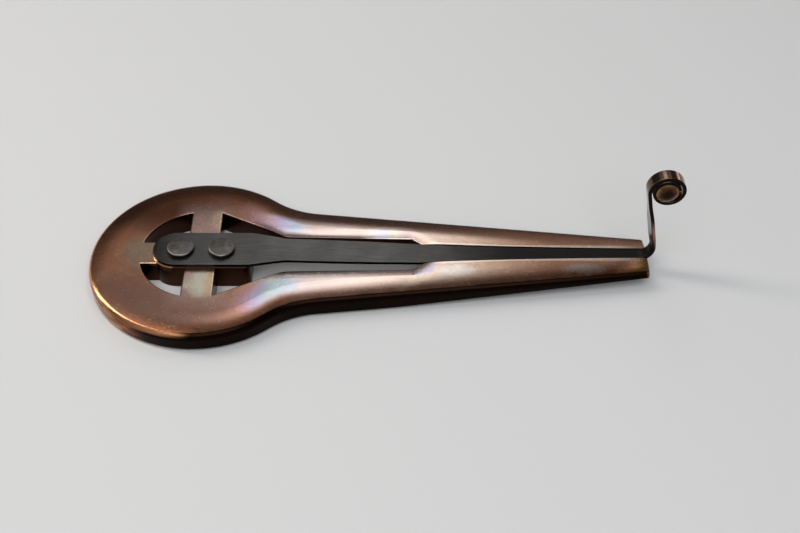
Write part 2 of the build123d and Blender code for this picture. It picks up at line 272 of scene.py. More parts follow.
# ------------------------------------------------------------------ node helpers
class Graph:
    """A material's nodes, written as plain expressions, with places in millimetres."""

    def __init__(self, name):
        self.mat = bpy.data.materials.new(name)
        self.mat.use_nodes = True
        self.tree = self.mat.node_tree
        self.shader = self.tree.nodes["Principled BSDF"]
        coords = self.add("ShaderNodeTexCoord")
        self.place = self.vector("SCALE", coords.outputs["Object"], scale=1 / MM)
        self.uv = coords.outputs["UV"]

    def add(self, kind, **settings):
        node = self.tree.nodes.new(kind)
        for key, value in settings.items():
            setattr(node, key, value)
        return node

    def put(self, socket, value):
        if isinstance(value, bpy.types.NodeSocket):
            self.tree.links.new(value, socket)
        else:
            socket.default_value = value

    def math(self, operation, a, b=None, c=None, clamp=False):
        node = self.add("ShaderNodeMath", operation=operation, use_clamp=clamp)
        for socket, value in zip(node.inputs, (a, b, c)):
            if value is not None:
                self.put(socket, value)
        return node.outputs[0]

    def vector(self, operation, a, b=None, scale=None):
        node = self.add("ShaderNodeVectorMath", operation=operation)
        self.put(node.inputs[0], a)
        if b is not None:
            self.put(node.inputs[1], b)
        if scale is not None:
            self.put(node.inputs["Scale"], scale)
        return node.outputs["Value" if operation == "LENGTH" else "Vector"]

    def split(self, vector):
        node = self.add("ShaderNodeSeparateXYZ")
        self.put(node.inputs[0], vector)
        return node.outputs

    def facing(self):
        """The three parts of the surface's direction."""
        return self.split(self.add("ShaderNodeNewGeometry").outputs["Normal"])

    def product(self, first, *others):
        for other in others:
            first = self.math("MULTIPLY", first, other)
        return first

    def line(self, value, slope, start):
        """Start plus slope times the value."""
        return self.math("MULTIPLY_ADD", value, slope, start)

    def weighted(self, a, b, share):
        """The given share of a, and the rest of b."""
        return self.math("ADD", self.product(a, share), self.product(b, 1 - share))

    def step(self, value, span, result=(0.0, 1.0)):
        """Smooth step over a span, from the first result to the second."""
        node = self.add("ShaderNodeMapRange", interpolation_type="SMOOTHSTEP")
        for socket, given in zip(node.inputs, (value, *span, *result)):
            self.put(socket, given)
        return node.outputs[0]

    def between(self, value, rise, fall):
        """1 between two spans, fading to 0 over them."""
        return self.product(self.step(value, rise), self.step(value, fall))

    def noise(self, vector, scale, detail, rough):
        node = self.add("ShaderNodeTexNoise", noise_dimensions="3D")
        self.put(node.inputs["Vector"], vector)
        node.inputs["Scale"].default_value = scale
        node.inputs["Detail"].default_value = detail
        node.inputs["Roughness"].default_value = rough
        return node.outputs["Fac"]

    def ramp(self, value, stops):
        node = self.add("ShaderNodeValToRGB")
        points = node.color_ramp.elements
        while len(points) < len(stops):
            points.new(0.5)
        for point, (at, colour) in zip(points, stops):
            point.position = at
            point.color = (*colour, 1)
        self.put(node.inputs[0], value)
        return node.outputs[0]

    def ramp_along(self, value, start, length, stops):
        """A ramp laid over a length."""
        return self.ramp(self.line(value, 1 / length, -start / length), stops)

    def mix(self, share, a, b):
        node = self.add("ShaderNodeMix", data_type="RGBA")
        for index, value in ((0, share), (6, a), (7, b)):
            if isinstance(value, tuple):
                value = (*value, 1)
            self.put(node.inputs[index], value)
        return node.outputs[2]

    def over(self, colour, where, strength, finish):
        """The colour with a finish laid over it."""
        return self.mix(self.product(where, strength), colour, finish)

    def spot(self, x, y, centre, radii):
        """1 at a place in plan, fading to 0 at the given half sizes."""
        dx = self.math("DIVIDE", self.math("SUBTRACT", x, centre[0]), radii[0])
        dy = self.math("DIVIDE", self.math("SUBTRACT", y, centre[1]), radii[1])
        square = self.math("ADD", self.product(dx, dx), self.product(dy, dy))
        return self.step(square, (1.0, 0.0))

    def patch(self, colour, x, y, centre, radii, strength, finish):
        """The colour with a soft patch laid over it."""
        return self.over(colour, self.spot(x, y, centre, radii), strength, finish)

    def bump(self, height, strength, distance, under=None):
        node = self.add("ShaderNodeBump")
        node.inputs["Strength"].default_value = strength
        node.inputs["Distance"].default_value = distance * MM
        self.put(node.inputs["Height"], height)
        if under is not None:
            self.put(node.inputs["Normal"], under)
        return node.outputs[0]

    def finish(self, colour, roughness, normal):
        self.put(self.shader.inputs["Base Color"], colour)
        self.put(self.shader.inputs["Roughness"], roughness)
        self.shader.inputs["Metallic"].default_value = 1.0
        self.put(self.shader.inputs["Normal"], normal)
        return self.mat


# ------------------------------------------------------------------ the frame's finish
# A span says where a fade starts and where it is full, in millimetres, or in the upward part of
# the surface's direction, which is 1 on a flat top and 0 on a wall. A patch has a centre, half
# sizes, a strength and a colour. A ramp is a row of (position, colour). A noise has a scale, a
# detail and a roughness. Colours are linear.
CLOUD = (0.11, 4.0, 0.55)
MOTTLE = (0.55, 5.0, 0.6)
GRAIN = (3.2, 6.0, 0.7)
GRAIN_STRETCH = (0.55, 1.6, 1.6)
SPECK = (5.5, 2.0, 0.5)
STREAKS = (0.9, 3.0, 0.5)
STREAKS_STRETCH = (0.25, 0.25, 1.5)
WANDER = 6.0  # how far the mottle carries a tint off its place
SLIGHT_WANDER = 0.3
HALF_WANDER = 0.5

NECK_SPAN = (6.0, 12.0)
NECK_BLEND = 3.0
OFF_THE_TINE = -40.0
FAR_SPAN = (-1.0, 1.0)
OUTER_SPAN = (2.8, 1.6)
RIM_SPAN = (1.010, 0.930)
RIM_MOTTLE = 0.06

RING_BROWNS = (
    (0.30, (0.29, 0.145, 0.095)),
    (0.50, (0.37, 0.195, 0.130)),
    (0.70, (0.45, 0.265, 0.185)),
)
CLOUD_SHARE = 0.6
GOLDEN = ((-17.5, 3.0), (7.0, 11.0), 0.7, (0.40, 0.165, 0.085))
# painted shade over the ring's near left
NEAR_LEFT_SHADE = ((-13.5, -11.0), (7.0, 6.0), 0.45, (0.17, 0.075, 0.045))
# painted shade over the ring's far back
FAR_BACK_SHADE = ((-9.0, 13.0), (13.0, 9.0), 0.5, (0.050, 0.014, 0.004))
# painted shade on the ring's far and near sides: span in Y, span in X, strength and colour
FAR_SIDE_SHADE = ((2.0, 12.0), (14.0, 6.0), 0.85, (0.125, 0.042, 0.020))
NEAR_SIDE_SHADE = ((-3.0, -13.0), (12.0, 2.0), 0.85, (0.25, 0.145, 0.112))
TINE_PALES = (
    (0.00, (0.60, 0.50, 0.48)),
    (0.30, (0.66, 0.53, 0.46)),
    (0.62, (0.58, 0.46, 0.40)),
    (0.90, (0.44, 0.31, 0.23)),
)
TINE_PALES_SPAN = (14.0, 64.0)
TINE_ENDS = ((12.0, 19.0), (66.0, 52.0))
TINE_STRENGTH = 0.9

# painted shade on the border, where the crown turns away from the light
BORDER_SHADE_BROWN = (0.17, 0.068, 0.034)
NEAR_BORDER_SPAN = (3.8, 1.2)
FAR_BORDER_SPAN = (5.4, 2.6)
BORDER_BACK_SPAN = (-16.0, -7.0)
BORDER_BACK = (0.25, 0.9)
BORDER_TIP_SPAN = (48.0, 78.0)
BORDER_TIP = (0.0, -0.5)

NECK_TINTS = (
    (0.05, (0.42, 0.24, 0.17)),
    (0.26, (0.43, 0.25, 0.31)),
    (0.40, (0.36, 0.33, 0.45)),
    (0.53, (0.38, 0.46, 0.45)),
    (0.68, (0.45, 0.49, 0.57)),
    (0.86, (0.61, 0.50, 0.48)),
)
NECK_TINTS_RUN = (3.0, 20.0)  # where they start, and how long they are
FAR_NECK_SHIFT = -2.4
NECK = ((12.5, 9.8), (10.5, 8.0))
NEAR_NECK_BAND = ((1.6, 3.8), (8.4, 5.2))
FAR_NECK_BAND = (3.6, 7.0)
NECK_STRENGTH, FAR_NECK_LESS = 1.05, -0.30

# heat tints on the far neck, brightened into a painted highlight along its ridge
RIDGE_TINTS_AND_HIGHLIGHT = (
    (0.08, (0.60, 0.40, 0.37)),
    (0.28, (0.62, 0.47, 0.60)),
    (0.45, (0.55, 0.53, 0.74)),
    (0.60, (0.46, 0.56, 0.66)),
    (0.80, (0.66, 0.56, 0.54)),
)
RIDGE_TINTS_RUN = (10.0, 12.0)
RIDGE_SLOPE, RIDGE_SHIFT = 0.42, -6.3
RIDGE_HIGHLIGHT = ((15.0, 8.1), (6.5, 2.5), 0.9)

# edge of the wide slot: slope and half width at X = 0, along the tines and at the ring
SLOT_EDGE = (-0.0208, 4.92)
SLOT_EDGE_AT_RING = (-0.52, 12.6)
EDGE_SHADE_NARROWS = (16.0, 22.0)
EDGE_SHADE_WIDTH = (1.7, 0.9)
EDGE_SHADE_FADE = (1.0, 0.15)
EDGE_SHADE_ENDS = ((7.0, 13.0), (39.0, 35.0))
EDGE_SHADE_STRENGTH = 0.88
EDGE_SHADE = (0.070, 0.038, 0.030)

STEP_TINTS = (
    (0.10, (0.62, 0.55, 0.54)),
    (0.34, (0.55, 0.54, 0.61)),
    (0.52, (0.62, 0.57, 0.46)),
    (0.70, (0.62, 0.48, 0.47)),
)
STEP_TINTS_RUN = (30.0, 12.0)
FAR_STEP = ((35.5, 5.2), (6.5, 2.6), 0.85)
STEP_SLOPE, STEP_SHIFT = -0.55, 27.6
SLANTED_PATCHES = (
    ((40.5, -1.6), (4.6, 1.5), 0.32, (0.66, 0.58, 0.40)),
    ((42.0, -0.2), (2.8, 1.3), 0.48, (0.38, 0.38, 0.60)),
)
# patches along the near tine; the second is a painted light grey glint
TINE_PATCHES = (
    ((47.5, -4.6), (5.0, 1.9), 0.55, (0.62, 0.60, 0.57)),
    ((71.5, -4.0), (5.0, 1.5), 0.35, (0.58, 0.56, 0.54)),
    ((83.2, -3.5), (3.0, 1.7), 0.75, (0.36, 0.22, 0.06)),
)

ARM_SPAN = (16.0, 8.5)
ARM_HALF_SIZES = (6.5, 1.0)
ARM_STRENGTH = 0.55
ARM_PINK = (0.56, 0.40, 0.38)
NEAR_ARM = ((0.8, -8.0), (4.2, 4.6), 0.85)
NEAR_ARM_SPAN = (0.4, 2.4)
PALE_GREEN, STRAW = (0.64, 0.64, 0.52), (0.64, 0.50, 0.30)
FAR_ARM = ((2.3, 9.0), (1.9, 3.6), 0.6, (0.56, 0.44, 0.30))
LEFT_ARM = ((-10.2, 0.3), (6.6, 5.4), 0.75, (0.32, 0.26, 0.19))

# a light line along the narrow slot's lip: light wear with a painted highlight
LIP_SPAN = (0.55, 0.15)
LIP_ENDS = ((41.0, 44.0), (84.0, 78.0))
LIP_STRENGTH = 0.55
LIP_WEAR_AND_GLINT = (0.78, 0.66, 0.56)

BACK_RIM_SPAN = (0.0, -7.0)  # the back of the ring, where the rim's highlight, reflection and shade are painted
# dark scale of the rim and walls, deep enough to paint their shade as well
DARK_SCALE_AND_SHADE = (0.007, 0.0034, 0.0022)
# a painted warm reflection on the ring's left wall, with painted glint streaks
WALL_REFLECTION_DARK, WALL_REFLECTION_BRIGHT = (0.20, 0.045, 0.009), (0.55, 0.24, 0.10)
GLINT_STREAKS_SPAN = (0.50, 0.64)
# where the left wall's painted reflection goes
REFLECTING_WALL_X, REFLECTING_WALL_UPRIGHT = (-8.0, -13.5), (0.6, 0.3)
WALL_REFLECTION_STRENGTH = 0.9
# a painted copper highlight on the rim and a painted reflection at its foot, at the ring's back
RIM_HIGHLIGHT_UPRIGHT = (0.30, 0.60)
FOOT_REFLECTION_Z = (0.9, 0.4)
FOOT_REFLECTION_STRENGTH = 0.7
COPPER_RIM_LIGHT = (0.64, 0.30, 0.15)
# painted shade on the shoulder just inside the rim, at the ring's back
SHOULDER_UPRIGHT = (0.90, 0.955)
SHOULDER_SHADE = (0.15, 0.048, 0.018)
WALL_UPRIGHT = (0.75, 0.30)
# inner walls: dark scale with painted shade
INNER_WALL_SHADE = (0.050, 0.020, 0.011)
# a painted copper glint along the tips' end edges
TIP_EDGE_X = (83.3, 83.8)
TIP_EDGE_STRENGTH = 0.6
TIP_EDGE_GLINT = (0.48, 0.25, 0.14)
# painted shade on the pad's walls under the tongue's plate
PAD_EDGE_Z = (4.50, 4.56)
EDGE_UPRIGHT = (0.98, 0.85)
PAD_WALL_SHADE = (0.014, 0.006, 0.004)
# a painted copper glint on the hub's round back wall
HUB_GLINT = ((-7.6, -2.6), (3.4, 3.4))
HUB_GLINT_Z, HUB_GLINT_X = (3.4, 4.4), (-9.7, -9.25)
HUB_GLINT_COPPER = (0.60, 0.30, 0.15)

FLECK_SPAN = (0.64, 0.74)
FLECK_STRENGTH = 0.25
FLECK_BROWN = (0.10, 0.06, 0.05)
# slopes and starts, then bumps as strength and depth in millimetres
GRAIN_SHADE = (0.5, 0.75)
GRAIN_ROUGHNESS = (0.14, 0.14)
MOTTLE_ROUGHNESS, RIM_ROUGHNESS = 0.08, -0.05
GRAIN_BUMP, MOTTLE_BUMP = (0.25, 0.05), (0.2, 0.08)


class FrameFinish(Graph):
    """Satin steel, heat tinted a copper brown, with blue and violet tints, dark scale and painted
    shade on the walls, and painted highlights and shade over the top.
    """

    def __init__(self):
        super().__init__("frame_finish")
        self.x, self.y, self.z = self.split(self.place)
        self.side = self.math("ABSOLUTE", self.y)
        self.far = self.step(self.y, FAR_SPAN)
        self.upright = self.facing()[2]
        self.depth = self.depth_from_edge()

        self.mottle = self.noise(self.place, *MOTTLE)
        self.grain = self.noise(self.vector("MULTIPLY", self.place, GRAIN_STRETCH), *GRAIN)
        self.wander = self.product(self.math("SUBTRACT", self.mottle, 0.5), WANDER)
        self.along = self.math("ADD", self.x, self.wander)
        self.wavy = self.line(self.wander, SLIGHT_WANDER, self.y)

        self.outer = self.step(self.depth, OUTER_SPAN)
        turned_up = self.line(self.mottle, RIM_MOTTLE, self.upright)
        self.rim = self.product(self.outer, self.step(turned_up, RIM_SPAN))

    def depth_from_edge(self):
        """How far in from the frame's outline a place is in plan, smooth round the necks."""
        centred = self.vector("ADD", self.place, (RING_SETBACK, 0, 0))
        across = self.vector("LENGTH", self.vector("MULTIPLY", centred, (1, 1, 0)))
        in_ring = self.math("SUBTRACT", RING_RADIUS, across)
        slope = (TIP_HALF_WIDTH - ROOT_HALF_WIDTH) / TIP_X
        in_tine = self.math("SUBTRACT", self.line(self.x, slope, ROOT_HALF_WIDTH), self.side)
        on_tine = self.step(self.x, NECK_SPAN, (OFF_THE_TINE, 0.0))
        return self.math("SMOOTH_MAX", in_ring, self.math("ADD", in_tine, on_tine), NECK_BLEND)

    def browns(self):
        """Copper brown ring with painted shade, deepest on its far side and far back, cream and
        pink tines, brown again at the tips.
        """
        cloud = self.noise(self.place, *CLOUD)
        colour = self.ramp(self.weighted(cloud, self.mottle, CLOUD_SHARE), RING_BROWNS)
        colour = self.patch(colour, self.x, self.y, *GOLDEN)
        colour = self.side_of_ring(colour, *FAR_SIDE_SHADE)
        colour = self.patch(colour, self.x, self.y, *NEAR_LEFT_SHADE)
        colour = self.patch(colour, self.x, self.y, *FAR_BACK_SHADE)
        colour = self.side_of_ring(colour, *NEAR_SIDE_SHADE)
        pale = self.ramp(self.step(self.along, TINE_PALES_SPAN), TINE_PALES)
        return self.over(colour, self.between(self.along, *TINE_ENDS), TINE_STRENGTH, pale)

    def side_of_ring(self, colour, span_y, span_x, strength, finish):
        where = self.product(self.step(self.y, span_y), self.step(self.x, span_x))
        return self.over(colour, where, strength, finish)

    def border(self, colour):
        """Painted shade on the border, a redder, deeper brown, wider on the far side and fading at
        its tip.
        """
        near, far = self.step(self.depth, NEAR_BORDER_SPAN), self.step(self.depth, FAR_BORDER_SPAN)
        back = self.step(self.x, BORDER_BACK_SPAN, BORDER_BACK)
        tip = self.line(self.far, self.step(self.x, BORDER_TIP_SPAN, BORDER_TIP), 1.0)
        border = self.product(self.mix(self.far, near, far), back, tip)
        return self.mix(border, colour, BORDER_SHADE_BROWN)

    def neck_tints(self, colour):
        """Violet, blue and pale green over the necks."""
        shifted = self.line(self.far, FAR_NECK_SHIFT, self.along)
        tint = self.ramp_along(shifted, *NECK_TINTS_RUN, NECK_TINTS)
        near_band = self.between(self.depth, *NEAR_NECK_BAND)
        far_band = self.step(self.depth, FAR_NECK_BAND)
        neck = self.spot(self.x, self.side, *NECK)
        band = self.product(neck, self.mix(self.far, near_band, far_band))
        strength = self.line(self.far, FAR_NECK_LESS, NECK_STRENGTH)
        return self.mix(self.math("MULTIPLY", band, strength, clamp=True), colour, tint)

    def slanted(self, height, slope, shift):
        """Height measured from a line that slopes along X."""
        return self.line(self.x, slope, self.math("ADD", height, shift))

    def far_neck(self, colour):
        """Lavender and pale blue heat tints with a painted highlight along the far neck's ridge,
        falling to painted shade at the wide slot's edge.
        """
        tint = self.ramp_along(self.x, *RIDGE_TINTS_RUN, RIDGE_TINTS_AND_HIGHLIGHT)
        fallen = self.slanted(self.y, RIDGE_SLOPE, RIDGE_SHIFT)
        colour = self.patch(colour, self.x, fallen, *RIDGE_HIGHLIGHT, tint)
        along_tine, at_ring = self.line(self.x, *SLOT_EDGE), self.line(self.x, *SLOT_EDGE_AT_RING)
        edge = self.math("MAXIMUM", along_tine, at_ring)
        width = self.step(self.x, EDGE_SHADE_NARROWS, EDGE_SHADE_WIDTH)
        in_from_edge = self.math("DIVIDE", self.math("SUBTRACT", self.y, edge), width)
        shade = self.step(in_from_edge, EDGE_SHADE_FADE)
        shade = self.product(shade, self.between(self.x, *EDGE_SHADE_ENDS), self.far)
        return self.over(colour, shade, EDGE_SHADE_STRENGTH, EDGE_SHADE)

    def step_tints(self, colour):
        """White to yellow and pink on the far side of the slot's step, a blue edge on the near,
        and patches along the near tine, one a painted grey glint.
        """
        tint = self.ramp_along(self.x, *STEP_TINTS_RUN, STEP_TINTS)
        colour = self.patch(colour, self.x, self.wavy, *FAR_STEP, tint)
        slant = self.slanted(self.wavy, STEP_SLOPE, STEP_SHIFT)
        for height, patches in ((slant, SLANTED_PATCHES), (self.wavy, TINE_PATCHES)):
            for patch in patches:
                colour = self.patch(colour, self.x, height, *patch)
        return colour

    def cross_tints(self, colour):
        """Arms of the cross: pink outside, a pale green and straw near the hub."""
        on_arm = self.product(
            self.step(self.side, ARM_SPAN), self.spot(self.x, 0.0, (0, 0), ARM_HALF_SIZES)
        )
        colour = self.over(colour, on_arm, ARM_STRENGTH, ARM_PINK)
        shifted = self.math("ADD", self.x, self.product(self.wander, HALF_WANDER))
        straw = self.mix(self.step(self.x, NEAR_ARM_SPAN), PALE_GREEN, STRAW)
        colour = self.patch(colour, shifted, self.y, *NEAR_ARM, straw)
        colour = self.patch(colour, self.x, self.y, *FAR_ARM)
        return self.patch(colour, self.along, self.wavy, *LEFT_ARM)

    def lip_wear_and_glint(self, colour):
        """A light line along the narrow slot's lip, light wear with a painted highlight."""
        narrows = self.step(self.x, (THROAT[0], MIDDLE[0]))
        slot_half = self.line(narrows, MIDDLE[1] - THROAT[1], THROAT[1] + SLOT_CLEARANCE)
        lip = self.step(self.math("SUBTRACT", self.side, slot_half), LIP_SPAN)
        lip = self.product(lip, self.between(self.x, *LIP_ENDS))
        return self.over(colour, lip, LIP_STRENGTH, LIP_WEAR_AND_GLINT)

    def rim_scale_and_light(self):
        """Dark scale of the rim with painted shade; at the ring's back a painted copper highlight
        on the rim, a painted reflection at its foot and in streaky glints on the left wall, and
        painted shade just inside the rim.
        """
        stretched = self.vector("MULTIPLY", self.place, STREAKS_STRETCH)
        glint_streaks = self.step(self.noise(stretched, *STREAKS), GLINT_STREAKS_SPAN)
        copper = self.mix(glint_streaks, WALL_REFLECTION_DARK, WALL_REFLECTION_BRIGHT)
        reflecting_wall = self.product(self.step(self.x, REFLECTING_WALL_X), self.step(self.upright, REFLECTING_WALL_UPRIGHT))
        scale = self.over(DARK_SCALE_AND_SHADE, reflecting_wall, WALL_REFLECTION_STRENGTH, copper)
        back_rim = self.step(self.x, BACK_RIM_SPAN)
        rim_highlight = self.product(back_rim, self.step(self.upright, RIM_HIGHLIGHT_UPRIGHT))
        foot_reflection = self.product(back_rim, self.step(self.z, FOOT_REFLECTION_Z), FOOT_REFLECTION_STRENGTH)
        scale = self.mix(self.math("MAXIMUM", rim_highlight, foot_reflection), scale, COPPER_RIM_LIGHT)
        shoulder = self.product(back_rim, self.step(self.upright, SHOULDER_UPRIGHT))
        return self.mix(shoulder, scale, SHOULDER_SHADE)

    def walls(self, colour):
        """Dark scale with painted shade on the rim and walls, a painted glint at the tips' ends,
        painted shade on the pad's walls under the plate, and a painted glint on the hub's back
        wall.
        """
        colour = self.mix(self.rim, colour, self.rim_scale_and_light())
        wall = self.step(self.upright, WALL_UPRIGHT)
        inner = self.product(wall, self.math("SUBTRACT", 1.0, self.outer))
        colour = self.mix(inner, colour, INNER_WALL_SHADE)
        tip = self.step(self.x, TIP_EDGE_X)
        colour = self.over(colour, tip, TIP_EDGE_STRENGTH, TIP_EDGE_GLINT)
        edge = self.step(self.upright, EDGE_UPRIGHT)
        pad_wall = self.product(self.step(self.z, PAD_EDGE_Z), edge)
        colour = self.mix(pad_wall, colour, PAD_WALL_SHADE)
        hub_glint = self.product(
            self.spot(self.x, self.y, *HUB_GLINT),
            self.step(self.z, HUB_GLINT_Z),
            self.step(self.x, HUB_GLINT_X),
            edge,
        )
        return self.mix(hub_glint, colour, HUB_GLINT_COPPER)

    def flecks_and_grain(self, colour):
        fleck = self.step(self.noise(self.place, *SPECK), FLECK_SPAN)
        colour = self.over(colour, fleck, FLECK_STRENGTH, FLECK_BROWN)
        return self.vector("SCALE", colour, scale=self.line(self.grain, *GRAIN_SHADE))

    def roughness(self):
        rough = self.line(self.grain, *GRAIN_ROUGHNESS)
        rough = self.line(self.mottle, MOTTLE_ROUGHNESS, rough)
        return self.line(self.rim, RIM_ROUGHNESS, rough)

    def make(self):
        colour = self.browns()
        for layer in (
            self.border,
            self.neck_tints,
            self.far_neck,
            self.step_tints,
            self.cross_tints,
            self.lip_wear_and_glint,
            self.walls,
            self.flecks_and_grain,
        ):
            colour = layer(colour)
        normal = self.bump(self.grain, *GRAIN_BUMP)
        normal = self.bump(self.mottle, *MOTTLE_BUMP, normal)
        return self.finish(colour, self.roughness(), normal)


# ------------------------------------------------------------------ the other finishes
STRIP_STREAK, STRIP_STREAK_STRETCH = (1.6, 6.0, 0.7), (0.12, 3.0)
STRIP_FINE, STRIP_FINE_STRETCH = (1.5, 3.0, 0.6), (0.5, 9.0)
STRIP_CLOUD = (0.25, 4.0, 0.55)
STREAK_SHARE = 0.7
STRIP_GREYS = (
    (0.30, (0.060, 0.058, 0.055)),
    (0.50, (0.098, 0.094, 0.091)),
    (0.72, (0.160, 0.153, 0.146)),
)
# painted shade in the narrow slot and at the back, over spans along the strip, in millimetres
SHADED_BLADE, SHADED_BACK = (34.0, 60.0), (-1.0, -9.0)
SHADED_BACK_SHARE = 0.75
SHADE_STRENGTH = 0.92
SHADE_GREY = (0.012, 0.011, 0.010)
TRIGGER_RUN = (85.0, 92.0)
TRIGGER_BRONZE = ((0.35, (0.085, 0.052, 0.038)), (0.60, (0.17, 0.105, 0.072)))
# spans in the parts of the surface's direction, and in height
STEM_BACK_FACING, STEM_BACK_Z = (-0.7, -0.95), (17.5, 15.0)
# a painted light sheen on the stem's back face
STEM_BACK_SHEEN = (0.20, 0.20, 0.22)
STRIP_EDGE_FACING = (0.6, 0.95)
# painted shade on the strip's side edges
STRIP_EDGE_SHADE = (0.010, 0.008, 0.007)
STEM_FOOT_FACING, STEM_FOOT_Z = (0.02, 0.14), (14.0, 10.0)
# a painted copper glint at the stem's foot
STEM_FOOT_GLINT = (0.42, 0.22, 0.17)
STREAK_ROUGHNESS, TRIGGER_ROUGHNESS = (0.18, 0.30), -0.27
TRIGGER_SMOOTHING = 0.7
STRIP_FINE_BUMP, STRIP_STREAK_BUMP = (0.35, 0.03), (0.4, 0.04)

RIVET_MOTTLE = (0.9, 5.0, 0.6)
RIVET_GRAIN = (5.0, 4.0, 0.65)
RIVET_MOTTLE_SHARE = 0.6
RIVET_GREYS = (
    (0.32, (0.075, 0.072, 0.067)),
    (0.52, (0.115, 0.110, 0.104)),
    (0.70, (0.17, 0.162, 0.152)),
)
# painted shade low on a rivet head's side
RIVET_FOOT_Z = (PLATE_TOP_Z + RIVET_HEAD_HEIGHT - 0.22, PLATE_TOP_Z + 0.35)
RIVET_FOOT_STRENGTH = 0.9
RIVET_FOOT_SHADE = (0.016, 0.012, 0.010)
RIVET_WORN_UPRIGHT = ((0.55, 0.75), (0.99, 0.93))
RIVET_WORN_STRENGTH = 0.5
RIVET_WORN = (0.32, 0.29, 0.26)
RIVET_ROUGHNESS = (0.2, 0.34)
RIVET_GRAIN_BUMP, RIVET_MOTTLE_BUMP = (0.3, 0.03), (0.5, 0.12)

PIN_CLOUD = (0.9, 4.0, 0.6)
PIN_GRAIN = (6.0, 3.0, 0.6)
PIN_BROWNS = (
    (0.34, (0.065, 0.028, 0.012)),
    (0.50, (0.11, 0.055, 0.026)),
    (0.66, (0.17, 0.095, 0.050)),
)
# painted shade in the middle of the dome and a painted highlight round its edge
PIN_MIDDLE_SPAN = (0.7, 1.7)
PIN_MIDDLE_SHADE = (0.020, 0.009, 0.005)
PIN_EDGE_SPAN = (1.5, 2.0)
PIN_EDGE_STRENGTH = 0.7
PIN_EDGE_HIGHLIGHT = (0.34, 0.19, 0.09)
PIN_ROUGHNESS = (0.12, 0.10)
PIN_BUMP = (0.2, 0.02)


def spring_steel():
    """Dark spring steel brushed along the strip, and a dark bronze in the polished trigger, with
    painted shade and painted highlights laid over them.
    """
    g = Graph("tongue_finish")
    run, across, _ = g.split(g.uv)
    z = g.split(g.place)[2]
    facing = g.facing()

    def brushed(stretch, noise):
        place = g.add("ShaderNodeCombineXYZ")
        g.put(place.inputs[0], g.product(run, stretch[0]))
        g.put(place.inputs[1], g.product(across, stretch[1]))
        return g.noise(place.outputs[0], *noise)

    streak = brushed(STRIP_STREAK_STRETCH, STRIP_STREAK)
    fine = brushed(STRIP_FINE_STRETCH, STRIP_FINE)
    cloud = g.noise(g.place, *STRIP_CLOUD)
    trigger = g.step(run, TRIGGER_RUN)

    # painted shade in the narrow slot and at the back, bronze in the trigger, painted shade along
    # its edges, a painted sheen on the stem's back and a painted glint at its foot
    colour = g.ramp(g.weighted(streak, cloud, STREAK_SHARE), STRIP_GREYS)
    back = g.product(g.step(run, SHADED_BACK), SHADED_BACK_SHARE)
    shaded = g.math("ADD", g.step(run, SHADED_BLADE), back)
    colour = g.over(colour, shaded, SHADE_STRENGTH, SHADE_GREY)
    colour = g.mix(trigger, colour, g.ramp(cloud, TRIGGER_BRONZE))
    stem_back_sheen = g.product(g.step(facing[0], STEM_BACK_FACING), g.step(z, STEM_BACK_Z), trigger)
    colour = g.mix(stem_back_sheen, colour, STEM_BACK_SHEEN)
    edge = g.step(g.math("ABSOLUTE", facing[1]), STRIP_EDGE_FACING)
    colour = g.mix(edge, colour, STRIP_EDGE_SHADE)
    stem_foot = g.product(trigger, g.step(z, STEM_FOOT_Z), g.step(facing[0], STEM_FOOT_FACING))
    colour = g.mix(stem_foot, colour, STEM_FOOT_GLINT)

    rough = g.line(trigger, TRIGGER_ROUGHNESS, g.line(streak, *STREAK_ROUGHNESS))
    keep = g.math("SUBTRACT", 1.0, g.product(trigger, TRIGGER_SMOOTHING))
    normal = g.bump(g.product(fine, keep), *STRIP_FINE_BUMP)
    normal = g.bump(g.product(streak, keep), *STRIP_STREAK_BUMP, normal)
    return g.finish(colour, rough, normal)


def rivet_steel():
    """Grey satin steel with a fine grain and faint dents, painted shade low on a head's side, and
    worn lighter round its edge.
    """
    g = Graph("rivet_finish")
    z = g.split(g.place)[2]
    mottle = g.noise(g.place, *RIVET_MOTTLE)
    grain = g.noise(g.place, *RIVET_GRAIN)
    colour = g.ramp(g.weighted(mottle, grain, RIVET_MOTTLE_SHARE), RIVET_GREYS)
    colour = g.over(colour, g.step(z, RIVET_FOOT_Z), RIVET_FOOT_STRENGTH, RIVET_FOOT_SHADE)
    worn = g.between(g.facing()[2], *RIVET_WORN_UPRIGHT)
    colour = g.over(colour, worn, RIVET_WORN_STRENGTH, RIVET_WORN)
    normal = g.bump(grain, *RIVET_GRAIN_BUMP)
    normal = g.bump(mottle, *RIVET_MOTTLE_BUMP, normal)
    return g.finish(colour, g.line(grain, *RIVET_ROUGHNESS), normal)


def pin_copper():
    """Polished copper brown, with painted shade in the middle of the dome and a painted highlight
    round its edge.
    """
    g = Graph("pin_finish")
    grain = g.noise(g.place, *PIN_GRAIN)
    colour = g.ramp(g.noise(g.place, *PIN_CLOUD), PIN_BROWNS)
    from_middle = g.vector("SUBTRACT", g.place, (CURL_X, 0, CURL_Z))
    reach = g.vector("LENGTH", g.vector("MULTIPLY", from_middle, (1, 0, 1)))
    colour = g.mix(g.step(reach, PIN_MIDDLE_SPAN), PIN_MIDDLE_SHADE, colour)
    colour = g.over(colour, g.step(reach, PIN_EDGE_SPAN), PIN_EDGE_STRENGTH, PIN_EDGE_HIGHLIGHT)
    return g.finish(colour, g.line(grain, *PIN_ROUGHNESS), g.bump(grain, *PIN_BUMP))


